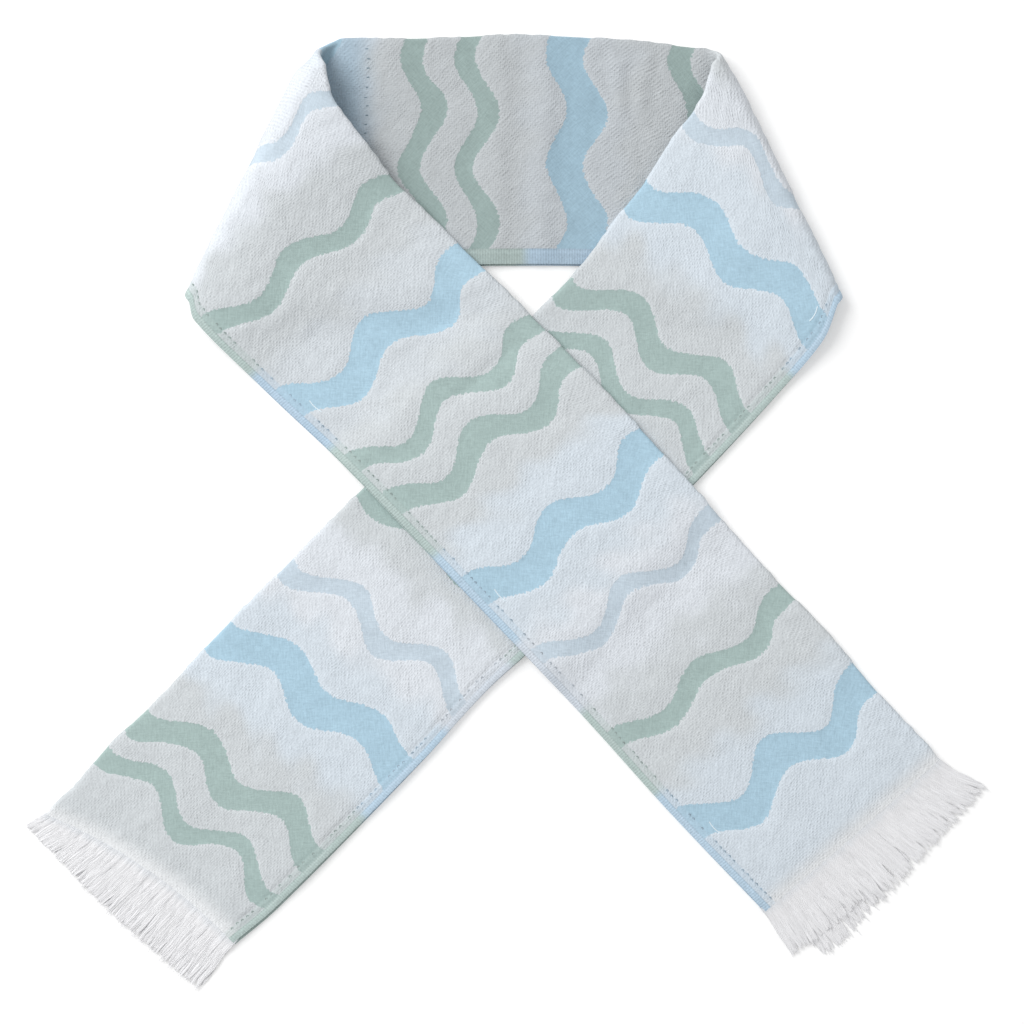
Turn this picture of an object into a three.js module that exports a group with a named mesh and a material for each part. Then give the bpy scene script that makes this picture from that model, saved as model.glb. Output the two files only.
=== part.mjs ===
import * as THREE from 'three';

// A cooling towel: one long cloth folded in half lengthwise and laid as a flat loop with crossed tails.
// The neck stretch lies on the surface. At each end it turns over in a loose curl and becomes a tail:
// the left curl leads to the over tail, which lies across the under tail from the right curl.
// Millimetres, +Z up, the surface at z = 0. The closed edge of the folded cloth is its fold edge, and
// its two hems lie together along the other edge.

// The folded cloth
const LAYER = 1.0;
const LAYER_GAP = 0.4;
const HALF = LAYER + LAYER_GAP / 2; // from the middle of the two layers to either outer face
const STACK = 2 * HALF + 0.5; // how far a stretch that lies on another is raised
const EDGE_CLEARANCE = 7; // it stays raised this far past the edge that it hangs over
const DRAPE = 14; // and comes down over this distance

// The fringe at the cut ends
const FRINGE_GAP = 0.3; // to the cloth, and between the two layers of fringe
const TEETH = 20;
const NOTCH_ROOT = 0.4; // where a notch starts, as a share of the fringe's length
const NOTCH_WIDTH = 0.3; // at the tips, as a share of the space from tooth to tooth

// Fineness of the facets
const ACROSS = 6; // strips across one layer
const BEND_STEPS = 4; // strips around the fold edge
const CURL_STEPS = 12; // rows around a curl

// Where the tails' middle lines cross, with the origin under the middle of the towel's box
const CROSSING = new THREE.Vector2(9.6, 10.9);

// In a tail's own frame "along" runs from the crossing to the tail's end, and "out" from its middle line
// to its fold edge. Its edges wander a little, as the tables say. "endBow" is how far the middle of the
// cut end lies past a straight line between its corners.
const TAILS = {
  over: {
    heading: -46.8,
    foldSide: 1,
    foldEnd: 201.5,
    hemEnd: 198,
    endBow: 0.5,
    foldEdge: [
      { along: -177, out: 51.2 },
      { along: -167, out: 48.4 },
      { along: -150, out: 46.8 },
      { along: -132, out: 45.0 },
      { along: -112, out: 45.8 },
      { along: -60, out: 47.9 },
      { along: -8, out: 49.2 },
      { along: 54, out: 48.4 },
      { along: 90, out: 47.2 },
      { along: 130, out: 47.8 },
      { along: 166, out: 46.0 },
      { along: 202, out: 46.2 },
    ],
    hemEdge: [
      { along: -146, out: -54.4 },
      { along: -104, out: -53.0 },
      { along: -60, out: -50.2 },
      { along: 5, out: -49.6 },
      { along: 84, out: -49.5 },
      { along: 140, out: -50.6 },
      { along: 198, out: -49.8 },
    ],
  },
  under: {
    heading: -134.5,
    foldSide: -1,
    foldEnd: 240,
    hemEnd: 223.5,
    endBow: -5,
    foldEdge: [
      { along: -166, out: 60.6 },
      { along: -146, out: 57.6 },
      { along: -126, out: 53.4 },
      { along: -103, out: 50.8 },
      { along: -84, out: 47.8 },
      { along: -40, out: 47.4 },
      { along: 58, out: 47.6 },
      { along: 139, out: 48.0 },
      { along: 171, out: 46.8 },
      { along: 200, out: 48.0 },
      { along: 224, out: 46.4 },
      { along: 240, out: 47.4 },
    ],
    hemEdge: [
      { along: -130, out: -45.0 },
      { along: -100, out: -47.4 },
      { along: -48, out: -48.6 },
      { along: 50, out: -48.6 },
      { along: 68, out: -46.2 },
      { along: 87, out: -46.0 },
      { along: 113, out: -48.9 },
      { along: 200, out: -48.2 },
      { along: 224, out: -45.8 },
    ],
  },
};

// The neck stretch, from the left curl to the right one
const NECK = {
  foldEdge: [
    { x: -69.4, y: 197.3 },
    { x: -32, y: 197.3 },
    { x: 6, y: 198.7 },
    { x: 50, y: 196.5 },
    { x: 80.1, y: 193.1 },
  ],
  hemEdge: [
    { x: -129.9, y: 91.3 },
    { x: -100, y: 95.3 },
    { x: -55, y: 101.8 },
    { x: 10, y: 103.9 },
    { x: 60, y: 102.3 },
    { x: 105, y: 95.8 },
    { x: 136.6, y: 90.6 },
  ],
};

// A curl turns the cloth over about a crease that slants across it. It is wide and loose at the fold
// edge and nearly flat at the hems, like a slender cone. "crease" is the crease's heading from the fold
// edge to the hems, and "landing" the distance over which the tail comes down to what it lies on.
const CURLS = {
  over: { crease: -118.1, outward: -1, radius: { fold: 8.5, hem: 2.6 }, landing: { fold: 50, hem: 42 } },
  under: { crease: -63.8, outward: 1, radius: { fold: 8.5, hem: 2.6 }, landing: { fold: 50, hem: 42 } },
};
const STRIP_TO_CREASE = 62; // degrees between the cloth's length and a crease
const ROW_SKEW = 110; // over this length the rows turn from square to the crease's slant
const END_SKEW = 80; // and from square to the slant of a cut end

// The rows of facets are a flat step apart, and closer where the cloth bends: a tail's table gives the
// stretches from its curl up to "to" in rows about "step" apart.
const FLAT_STEP = 17;
const BENT_ROWS = {
  over: [
    { to: -66, step: 5 },
    { to: -47, step: 4 },
    { to: 47, step: FLAT_STEP },
    { to: 68, step: 4 },
  ],
  under: [{ to: -56, step: 5 }],
};

// How far along its tail the fringe ends, from the fold side to the hem side
const FRINGE_TIPS = {
  over: {
    upper: [
      { out: 54, along: 223.5 },
      { out: 20, along: 226.5 },
      { out: -13, along: 228 },
      { out: -16, along: 223.5 },
      { out: -34, along: 222.5 },
      { out: -54, along: 219.5 },
    ],
    lower: [
      { out: 52, along: 222 },
      { out: 0, along: 225 },
      { out: -18, along: 228 },
      { out: -43, along: 228.5 },
      { out: -46, along: 219 },
      { out: -53, along: 217 },
    ],
  },
  under: {
    upper: [
      { out: 51, along: 250 },
      { out: 0, along: 251 },
      { out: -30, along: 249.5 },
      { out: -49, along: 248 },
    ],
    lower: [
      { out: 50, along: 249 },
      { out: 0, along: 249.5 },
      { out: -49, along: 246 },
    ],
  },
};

const CLOTH_MATERIAL = new THREE.MeshStandardMaterial({ color: 0xd3dde4, roughness: 0.95, metalness: 0 });
const FRINGE_MATERIAL = new THREE.MeshStandardMaterial({ color: 0xeceded, roughness: 0.95, metalness: 0 });

const mix = THREE.MathUtils.lerp;
const clamp = THREE.MathUtils.clamp;
const smooth = THREE.MathUtils.smoothstep;

function headed(degrees) {
  const angle = THREE.MathUtils.degToRad(degrees);
  return new THREE.Vector2(Math.cos(angle), Math.sin(angle));
}

// The column "value" of a table where its column "key" is at, on a smooth curve through its rows
function lookUp(table, key, value, at) {
  const last = table.length - 1;
  const rising = table[last][key] > table[0][key] ? 1 : -1;
  let i = 0;
  while (i < last - 1 && rising * at > rising * table[i + 1][key]) i += 1;
  const [before, a, b, after] = [i - 1, i, i + 1, i + 2].map((k) => table[clamp(k, 0, last)]);
  const span = b[key] - a[key];
  const t = clamp((at - a[key]) / span, 0, 1);
  const slopeA = (span * (b[value] - before[value])) / (b[key] - before[key]);
  const slopeB = (span * (after[value] - a[value])) / (after[key] - a[key]);
  const bendA = (t ** 3 - 2 * t ** 2 + t) * slopeA;
  const bendB = (t ** 3 - t ** 2) * slopeB;
  return mix(a[value], b[value], 3 * t ** 2 - 2 * t ** 3) + bendA + bendB;
}

// A tail's own frame, seen from above
function tailFrame(tail) {
  const run = headed(tail.heading);
  const side = new THREE.Vector2(-run.y, run.x).multiplyScalar(tail.foldSide);
  return { run, side };
}

function fromTail(tail, along, out) {
  const { run, side } = tailFrame(tail);
  return CROSSING.clone().addScaledVector(run, along).addScaledVector(side, out);
}

function toTail(tail, place) {
  const { run, side } = tailFrame(tail);
  const offset = place.clone().sub(CROSSING);
  return { along: offset.dot(run), out: offset.dot(side) };
}

// A point of a curl's edge ("fold" or "hem"), at a turn from 0, on the surface, to pi, turned over
function curlPoint(name, edge, turn) {
  const curl = CURLS[name];
  const neckEdge = NECK[edge + 'Edge'];
  const start = name === 'over' ? neckEdge[0] : neckEdge[neckEdge.length - 1];
  const crease = headed(curl.crease);
  const outward = new THREE.Vector2(-crease.y, crease.x).multiplyScalar(curl.outward);
  const radius = curl.radius[edge];
  const slip = (radius * turn) / Math.tan(THREE.MathUtils.degToRad(STRIP_TO_CREASE));
  const place = new THREE.Vector2(start.x, start.y)
    .addScaledVector(crease, slip)
    .addScaledVector(outward, radius * Math.sin(turn));
  return new THREE.Vector3(place.x, place.y, HALF + radius * (1 - Math.cos(turn)));
}

// Each tail's edge tables start where its curl ends
for (const [name, tail] of Object.entries(TAILS)) {
  for (const edge of ['fold', 'hem']) {
    const end = curlPoint(name, edge, Math.PI);
    tail[edge + 'Edge'].unshift(toTail(tail, new THREE.Vector2(end.x, end.y)));
  }
}

// 1 over what lies below and just past its edge, and 0 where the cloth has come down
const raised = (past) => 1 - smooth(past, EDGE_CLEARANCE, EDGE_CLEARANCE + DRAPE);

// How far a tail at rest is raised at a place by what lies below it
function rise(name, place) {
  const hem = NECK.hemEdge;
  const x = clamp(place.x, hem[0].x, hem[hem.length - 1].x);
  const byNeck = raised(lookUp(hem, 'x', 'y', x) - place.y);
  if (name === 'under') return STACK * byNeck;
  const { along, out } = toTail(TAILS.under, place);
  const pastFold = out - lookUp(TAILS.under.foldEdge, 'along', 'out', along) - HALF;
  const pastHem = lookUp(TAILS.under.hemEdge, 'along', 'out', along) - out;
  const byTail = raised(Math.max(pastFold, pastHem));
  return STACK * (1 - (1 - byNeck) * (1 - byTail));
}

// Steps from one place to another, closer together where the table says
function rowPlaces(from, stretches) {
  const places = [from];
  let start = from;
  for (const { to, step } of stretches) {
    const count = Math.max(1, Math.round((to - start) / step));
    for (let i = 1; i <= count; i += 1) places.push(mix(start, to, i / count));
    start = to;
  }
  return places;
}

// A row's points run from the fold edge (t = 0) to the hems (t = 1), midway between the two layers
const rowOf = (point) => Array.from({ length: ACROSS + 1 }, (_, j) => point(j / ACROSS));

function tailRows(name) {
  const tail = TAILS[name];
  const { radius, landing } = CURLS[name];
  const foldStart = tail.foldEdge[0].along;
  const hemStart = tail.hemEdge[0].along;
  const start = (foldStart + hemStart) / 2;
  const end = (tail.foldEnd + tail.hemEnd) / 2;
  return rowPlaces(start, [...BENT_ROWS[name], { to: end, step: FLAT_STEP }]).map((middle) => {
    const byCurl = ((foldStart - hemStart) / 2) * (1 - smooth(middle, start, start + ROW_SKEW));
    const byEnd = ((tail.foldEnd - tail.hemEnd) / 2) * smooth(middle, end - END_SKEW, end);
    const bow = tail.endBow * smooth(middle, end - END_SKEW, end);
    const foldAlong = middle + byCurl + byEnd;
    const hemAlong = middle - byCurl - byEnd;
    const foldOut = lookUp(tail.foldEdge, 'along', 'out', foldAlong);
    const hemOut = lookUp(tail.hemEdge, 'along', 'out', hemAlong);
    return rowOf((t) => {
      const along = mix(foldAlong, hemAlong, t) + 4 * bow * t * (1 - t);
      const place = fromTail(tail, along, mix(foldOut, hemOut, t));
      const gone = mix(foldAlong - foldStart, hemAlong - hemStart, t);
      const landed = smooth(gone, 0, mix(landing.fold, landing.hem, t));
      const curlTop = 2 * mix(radius.fold, radius.hem, t);
      return new THREE.Vector3(place.x, place.y, HALF + mix(curlTop, rise(name, place), landed));
    });
  });
}

function curlRows(name) {
  return Array.from({ length: CURL_STEPS - 1 }, (_, i) => {
    const turn = (Math.PI * (i + 1)) / CURL_STEPS;
    return rowOf((t) => curlPoint(name, 'fold', turn).lerp(curlPoint(name, 'hem', turn), t));
  });
}

function neckRows() {
  const { foldEdge, hemEdge } = NECK;
  const [foldLeft, hemLeft] = [foldEdge[0].x, hemEdge[0].x];
  const [foldRight, hemRight] = [foldEdge.at(-1).x, hemEdge.at(-1).x];
  const left = (foldLeft + hemLeft) / 2;
  const right = (foldRight + hemRight) / 2;
  return rowPlaces(left, [{ to: right, step: FLAT_STEP }]).map((middle) => {
    const byLeft = ((foldLeft - hemLeft) / 2) * (1 - smooth(middle, left, left + ROW_SKEW));
    const byRight = ((foldRight - hemRight) / 2) * smooth(middle, right - ROW_SKEW, right);
    const foldX = middle + byLeft + byRight;
    const hemX = middle - byLeft - byRight;
    const foldY = lookUp(foldEdge, 'x', 'y', foldX);
    const hemY = lookUp(hemEdge, 'x', 'y', hemX);
    return rowOf((t) => new THREE.Vector3(mix(foldX, hemX, t), mix(foldY, hemY, t), HALF));
  });
}

// The whole strip, from the over tail's end through the neck to the under tail's end
const STRIP = [
  ...tailRows('over').reverse(),
  ...curlRows('over').reverse(),
  ...neckRows(),
  ...curlRows('under'),
  ...tailRows('under'),
];

// Two layers on the rows' points, joined around the fold edge: points of the skin that lies at a distance
// from the middle, from the front hem around the fold edge to the back hem.
function skinRow(i, distance) {
  const rowBefore = STRIP[Math.max(i - 1, 0)];
  const rowAfter = STRIP[Math.min(i + 1, STRIP.length - 1)];
  const here = STRIP[i];
  const frames = here.map((point, j) => {
    const run = rowAfter[j].clone().sub(rowBefore[j]);
    const across = here[Math.min(j + 1, ACROSS)].clone().sub(here[Math.max(j - 1, 0)]);
    const normal = across.clone().cross(run).normalize();
    return { point, normal, edge: run.clone().cross(normal).normalize() };
  });
  const offset = ({ point, normal, edge }, turn) =>
    point
      .clone()
      .addScaledVector(normal, distance * Math.cos(turn))
      .addScaledVector(edge, -distance * Math.sin(turn));
  const front = frames.map((frame) => offset(frame, 0)).reverse();
  const back = frames.map((frame) => offset(frame, Math.PI));
  const bend = Array.from({ length: BEND_STEPS - 1 }, (_, k) =>
    offset(frames[0], (Math.PI * (k + 1)) / BEND_STEPS));
  return [...front, ...bend, ...back];
}

function clothGeometry() {
  const outer = STRIP.map((_, i) => skinRow(i, HALF));
  const inner = STRIP.map((_, i) => skinRow(i, LAYER_GAP / 2));
  const rows = outer.length;
  const columns = outer[0].length;
  const positions = [...outer.flat(), ...inner.flat()].flatMap((point) => point.toArray());
  const index = [];
  const at = (skin, i, j) => (skin * rows + i) * columns + j;
  const quad = (a, b, c, d) => index.push(a, b, c, a, c, d);
  // The two layers are split along the same diagonals, so that they stay parallel where they twist
  const skinQuad = (front, a, b, c, d) => (front ? quad(a, b, c, d) : quad(b, c, d, a));
  for (let i = 0; i < rows - 1; i += 1) {
    for (let j = 0; j < columns - 1; j += 1) {
      const front = j < columns / 2;
      skinQuad(front, at(0, i, j), at(0, i + 1, j), at(0, i + 1, j + 1), at(0, i, j + 1));
      skinQuad(front, at(1, i, j), at(1, i, j + 1), at(1, i + 1, j + 1), at(1, i + 1, j));
    }
    quad(at(0, i, 0), at(1, i, 0), at(1, i + 1, 0), at(0, i + 1, 0));
    const hem = columns - 1;
    quad(at(0, i, hem), at(0, i + 1, hem), at(1, i + 1, hem), at(1, i, hem));
  }
  for (let j = 0; j < columns - 1; j += 1) {
    quad(at(0, 0, j), at(0, 0, j + 1), at(1, 0, j + 1), at(1, 0, j));
    const end = rows - 1;
    quad(at(0, end, j), at(1, end, j), at(1, end, j + 1), at(0, end, j + 1));
  }
  const geometry = new THREE.BufferGeometry();
  geometry.setAttribute('position', new THREE.Float32BufferAttribute(positions, 3));
  geometry.setIndex(index);
  geometry.computeVertexNormals();
  return geometry;
}

// A comb: a straight-backed strip along the cut end, with teeth that reach to the table's tips
function combGeometry(name, layer) {
  const tail = TAILS[name];
  const tips = FRINGE_TIPS[name][layer];
  const foldOut = lookUp(tail.foldEdge, 'along', 'out', tail.foldEnd);
  const hemOut = lookUp(tail.hemEdge, 'along', 'out', tail.hemEnd);
  const root = (t) => ({
    along: mix(tail.foldEnd, tail.hemEnd, t) + 4 * tail.endBow * t * (1 - t) + FRINGE_GAP,
    out: mix(foldOut, hemOut, t),
  });
  const tip = (t) => {
    const out = mix(tips[0].out, tips.at(-1).out, t);
    return { along: lookUp(tips, 'out', 'along', out), out };
  };
  const outline = [];
  for (let k = 0; k <= ACROSS; k += 1) outline.push(root(k / ACROSS));
  for (let k = TEETH - 1; k >= 0; k -= 1) {
    outline.push(tip((k + 1 - NOTCH_WIDTH / 2) / TEETH), tip((k + NOTCH_WIDTH / 2) / TEETH));
    if (k > 0) {
      const [inside, outside] = [root(k / TEETH), tip(k / TEETH)];
      outline.push({
        along: mix(inside.along, outside.along, NOTCH_ROOT),
        out: mix(inside.out, outside.out, NOTCH_ROOT),
      });
    }
  }
  const shape = new THREE.Shape(outline.map(({ along, out }) => fromTail(tail, along, out)));
  return new THREE.ExtrudeGeometry(shape, { depth: LAYER, bevelEnabled: false });
}

function part(name, geometry, material, height = 0) {
  const mesh = new THREE.Mesh(geometry, material);
  mesh.name = name;
  mesh.position.z = height;
  return mesh;
}

const towel = new THREE.Group();
towel.add(part('towel_cloth', clothGeometry(), CLOTH_MATERIAL));
for (const name of Object.keys(TAILS)) {
  for (const layer of ['lower', 'upper']) {
    const height = layer === 'upper' ? LAYER + FRINGE_GAP : 0;
    towel.add(part(`${name}_tail_fringe_${layer}`, combGeometry(name, layer), FRINGE_MATERIAL, height));
  }
}

export default towel;
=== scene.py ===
"""Looks of the cooling towel: a long cloth folded in half lengthwise, laid in a loop with crossed tails.

Metres, +Z up, the surface at z = 0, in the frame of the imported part. The cloth's own coordinates are
"length", from the middle of the neck stretch to either cut end (negative towards the over tail), and
"width", 0 at the fold edge, positive on the face that shows on the tails and negative on the neck's.
"""

import math

import bpy
import numpy as np
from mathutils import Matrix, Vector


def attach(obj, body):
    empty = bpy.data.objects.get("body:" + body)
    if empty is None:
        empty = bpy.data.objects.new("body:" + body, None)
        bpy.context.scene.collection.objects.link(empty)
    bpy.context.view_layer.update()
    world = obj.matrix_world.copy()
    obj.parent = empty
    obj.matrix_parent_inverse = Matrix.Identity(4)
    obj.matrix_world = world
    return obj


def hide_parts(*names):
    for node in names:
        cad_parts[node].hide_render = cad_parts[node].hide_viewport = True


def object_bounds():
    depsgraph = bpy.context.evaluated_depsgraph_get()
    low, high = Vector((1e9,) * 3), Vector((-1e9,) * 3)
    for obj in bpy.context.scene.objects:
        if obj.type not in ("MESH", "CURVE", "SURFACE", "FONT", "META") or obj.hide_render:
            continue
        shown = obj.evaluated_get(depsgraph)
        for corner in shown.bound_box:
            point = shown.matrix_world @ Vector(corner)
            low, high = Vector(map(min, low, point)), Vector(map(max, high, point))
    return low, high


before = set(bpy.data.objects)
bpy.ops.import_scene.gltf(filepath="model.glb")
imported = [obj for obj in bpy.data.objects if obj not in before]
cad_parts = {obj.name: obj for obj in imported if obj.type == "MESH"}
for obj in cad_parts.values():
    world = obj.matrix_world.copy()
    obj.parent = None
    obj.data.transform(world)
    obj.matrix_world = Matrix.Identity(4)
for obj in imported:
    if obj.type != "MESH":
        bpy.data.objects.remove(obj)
cad_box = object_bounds()
rng = np.random.default_rng(7)


# ---- camera, light and floor

VIEW_CENTRE = (0.0026, -0.0001)  # from the middle of the part's box
VIEW_WIDTH = 0.430  # of the surface, from one side of the picture to the other
VIEW_HEIGHT = 1.30
SENSOR = 36  # mm
SKY_LIGHT = 0.60
FLOOR_HALF = 2.5
FLOOR_GLOW = 0.28  # the floor's own light, which only the camera sees


def make_camera():
    """Looks straight down, as the surface is seen."""
    low, high = cad_box
    camera = bpy.data.cameras.new("camera")
    camera.sensor_width = SENSOR
    camera.lens = SENSOR * VIEW_HEIGHT / VIEW_WIDTH
    camera.clip_start, camera.clip_end = 0.05, 10
    holder = bpy.data.objects.new("camera", camera)
    middle = (low + high) / 2
    holder.location = (middle.x + VIEW_CENTRE[0], middle.y + VIEW_CENTRE[1], VIEW_HEIGHT)
    bpy.context.scene.collection.objects.link(holder)
    bpy.context.scene.camera = holder


def make_lamp(name, towards, distance, size, power):
    """A square lamp that shines on the middle of the object from the direction "towards"."""
    light = bpy.data.lights.new(name, "AREA")
    light.shape = "SQUARE"
    light.size = size
    light.energy = power
    lamp = bpy.data.objects.new(name, light)
    azimuth, elevation = (math.radians(angle) for angle in towards)
    direction = np.array([
        math.cos(azimuth) * math.cos(elevation),
        math.sin(azimuth) * math.cos(elevation),
        math.sin(elevation),
    ])
    lamp.location = direction * distance
    lamp.rotation_euler = (math.pi / 2 - elevation, 0, azimuth + math.pi / 2)
    bpy.context.scene.collection.objects.link(lamp)


def make_world():
    world = bpy.data.worlds.new("studio")
    bpy.context.scene.world = world
    world.use_nodes = True
    background = world.node_tree.nodes["Background"]
    background.inputs["Color"].default_value = (1, 1, 1, 1)
    background.inputs["Strength"].default_value = SKY_LIGHT


def make_floor():
    mesh = bpy.data.meshes.new("floor")
    corners = [(x * FLOOR_HALF, y * FLOOR_HALF, 0) for x, y in ((-1, -1), (1, -1), (1, 1), (-1, 1))]
    mesh.from_pydata(corners, [], [(0, 1, 2, 3)])
    floor = bpy.data.objects.new("floor", mesh)
    bpy.context.scene.collection.objects.link(floor)
    nodes = Nodes("floor")
    glow = nodes.times(nodes.node("LightPath", []).outputs["Is Camera Ray"], FLOOR_GLOW)
    mesh.materials.append(nodes.finished({
        "Base Color": (0.8, 0.8, 0.8, 1), "Roughness": 0.9, "Emission Color": (1, 1, 1, 1),
        "Emission Strength": glow,
    }))


# ---- the strip's middle surface

# The folded cloth
LAYER = 0.001
LAYER_GAP = 0.0004
HALF = LAYER + LAYER_GAP / 2  # from the middle of the two layers to either outer face
STACK = 2 * HALF + 0.0005  # how far a stretch that lies on another is raised
EDGE_CLEARANCE = 0.007  # how far past an edge below it the cloth stays up
DRAPE = 0.020  # over which it then comes down
WIDTH = 0.0985  # of the folded cloth

# Where the tails' middle lines cross
CROSSING = np.array([0.0096, 0.0109])

# In a tail's own frame "along" runs from the crossing to its end and "out" to its fold edge.
# The edges' rows are (along, out). "heading" is in degrees, and "end_bow" is how far the cut end bulges.
TAILS = {
    "over": {
        "heading": -46.8,
        "fold_side": 1,
        "fold_end": 0.2015,
        "hem_end": 0.198,
        "end_bow": 0.0005,
        "fold_edge": [
            (-0.177, 0.0512), (-0.167, 0.0484), (-0.150, 0.0468), (-0.132, 0.0450),
            (-0.112, 0.0458), (-0.060, 0.0479), (-0.008, 0.0492), (0.054, 0.0484),
            (0.090, 0.0472), (0.130, 0.0478), (0.166, 0.0460), (0.202, 0.0462),
        ],
        "hem_edge": [
            (-0.146, -0.0544), (-0.104, -0.0530), (-0.060, -0.0502), (0.005, -0.0496),
            (0.084, -0.0495), (0.140, -0.0506), (0.198, -0.0498),
        ],
    },
    "under": {
        "heading": -134.5,
        "fold_side": -1,
        "fold_end": 0.240,
        "hem_end": 0.2235,
        "end_bow": -0.005,
        "fold_edge": [
            (-0.166, 0.0606), (-0.146, 0.0576), (-0.126, 0.0534), (-0.103, 0.0508),
            (-0.084, 0.0478), (-0.040, 0.0474), (0.058, 0.0476), (0.139, 0.0480),
            (0.171, 0.0468), (0.200, 0.0480), (0.224, 0.0464), (0.240, 0.0474),
        ],
        "hem_edge": [
            (-0.130, -0.0450), (-0.100, -0.0474), (-0.048, -0.0486), (0.050, -0.0486),
            (0.068, -0.0476), (0.087, -0.0478), (0.113, -0.0489), (0.200, -0.0482),
            (0.224, -0.0458),
        ],
    },
}

# The neck stretch's edges, (x, y) from the left curl to the right one
NECK = {
    "fold_edge": [(-0.0694, 0.1973), (-0.032, 0.1973), (0.006, 0.1987), (0.050, 0.1965), (0.0834, 0.1929)],
    "hem_edge": [
        (-0.1299, 0.0913), (-0.100, 0.0953), (-0.055, 0.1018), (0.010, 0.1039),
        (0.060, 0.1023), (0.105, 0.0958), (0.1366, 0.0906),
    ],
}

# "crease" is the heading of a curl's crease from the fold edge to the hems, and "landing" the distance
# over which the tail comes down from the curl. Both edges: fold, hem.
CURLS = {
    "over": {
        "crease": -118.1, "outward": -1, "radius": (0.0085, 0.0026), "landing": (0.078, 0.052),
        "tuck": (0.0023, -0.0036),
    },
    "under": {
        "crease": -63.8, "outward": 1, "radius": (0.0050, 0.0026), "landing": (0.062, 0.046),
        "tuck": (-0.0006, -0.0014),
    },
}
TUCK_REACH = 0.14  # share of the way to the hems over which a curl's corner at the fold edge is tucked in
STRIP_TO_CREASE = math.radians(62)  # the angle between the strip and a curl's crease
ROW_SKEW = 0.110  # over which the rows turn from a curl's slant to square across
END_SKEW = 0.080  # and over which they turn to the slant of a cut end

# Fineness of the mesh
ROW_STEP = 0.0019  # along the cloth
CELL = 0.0018  # across it
HEM_CELL = 0.0006  # across it near the hems
HEM_ZONE = 0.009
CURL_STEPS = 24  # rows round a curl
BEND_STEPS = 6  # columns round the fold edge
COARSE = 3  # the inner skin has one cell for so many of the outer skin's, each way


def headed(degrees):
    """The unit vector at an angle from +x."""
    angle = math.radians(degrees)
    return np.array([math.cos(angle), math.sin(angle)])


def mix(a, b, t):
    return a + (b - a) * t


def smooth(x, low, high):
    """0 up to "low", 1 from "high" on, and a smooth rise between them."""
    t = np.clip((x - low) / (high - low), 0, 1)
    return t * t * (3 - 2 * t)


def look_up(table, at):
    """The second column of a table where its first column is "at", on a smooth curve through its rows."""
    keys = np.array([row[0] for row in table])
    values = np.array([row[1] for row in table])
    before = np.maximum(np.arange(len(keys)) - 1, 0)
    after = np.minimum(np.arange(len(keys)) + 1, len(keys) - 1)
    slopes = (values[after] - values[before]) / (keys[after] - keys[before])
    i = np.clip(np.searchsorted(keys, at, side="right") - 1, 0, len(keys) - 2)
    span = keys[i + 1] - keys[i]
    t = np.clip((at - keys[i]) / span, 0, 1)
    bend = (t**3 - 2 * t**2 + t) * slopes[i] + (t**3 - t**2) * slopes[i + 1]
    return mix(values[i], values[i + 1], 3 * t**2 - 2 * t**3) + bend * span


def tail_frame(tail):
    run = headed(tail["heading"])
    return run, np.array([-run[1], run[0]]) * tail["fold_side"]


def from_tail(tail, along, out):
    run, side = tail_frame(tail)
    return CROSSING + np.multiply.outer(along, run) + np.multiply.outer(out, side)


def to_tail(tail, place):
    run, side = tail_frame(tail)
    offset = place - CROSSING
    return offset @ run, offset @ side


def curl_edge(name, edge, turn):
    """Points of a curl's edge (0 fold, 1 hem) at turns from 0, on the surface, to pi, turned over."""
    curl = CURLS[name]
    neck_edge = NECK["hem_edge" if edge else "fold_edge"]
    start = np.array(neck_edge[0 if name == "over" else -1])
    crease = headed(curl["crease"])
    outward = np.array([-crease[1], crease[0]]) * curl["outward"]
    radius = curl["radius"][edge]
    slip = radius * turn / math.tan(STRIP_TO_CREASE)
    place = start + np.multiply.outer(slip, crease) + np.multiply.outer(radius * np.sin(turn), outward)
    height = HALF + radius * (1 - np.cos(turn))
    return np.concatenate([place, np.asarray(height)[..., None]], -1)


def start_edges_at_curls():
    """Puts the point where a tail's curl ends first in the tail's edge tables."""
    for name, tail in TAILS.items():
        for edge, key in enumerate(("fold_edge", "hem_edge")):
            end = curl_edge(name, edge, np.array(math.pi))
            tail[key].insert(0, to_tail(tail, end[:2]))


def raised(past):
    """1 over what lies below and just past its edge, and 0 where the cloth has come down."""
    return 1 - smooth(past, EDGE_CLEARANCE, EDGE_CLEARANCE + DRAPE)


def rise(name, place):
    """How far a tail at rest is raised at a place by what lies below it."""
    hem = NECK["hem_edge"]
    x = np.clip(place[..., 0], hem[0][0], hem[-1][0])
    by_neck = raised(look_up(hem, x) - place[..., 1])
    if name == "under":
        return STACK * by_neck
    along, out = to_tail(TAILS["under"], place)
    past_fold = out - look_up(TAILS["under"]["fold_edge"], along) - HALF
    past_hem = look_up(TAILS["under"]["hem_edge"], along) - out
    by_tail = raised(np.maximum(past_fold, past_hem))
    return STACK * (1 - (1 - by_neck) * (1 - by_tail))


def steps_between(start, end, step):
    """Evenly spaced places whose number of steps suits the inner skin's coarser cells."""
    count = COARSE * max(1, round((end - start) / step / COARSE))
    return np.linspace(start, end, count + 1)


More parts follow.
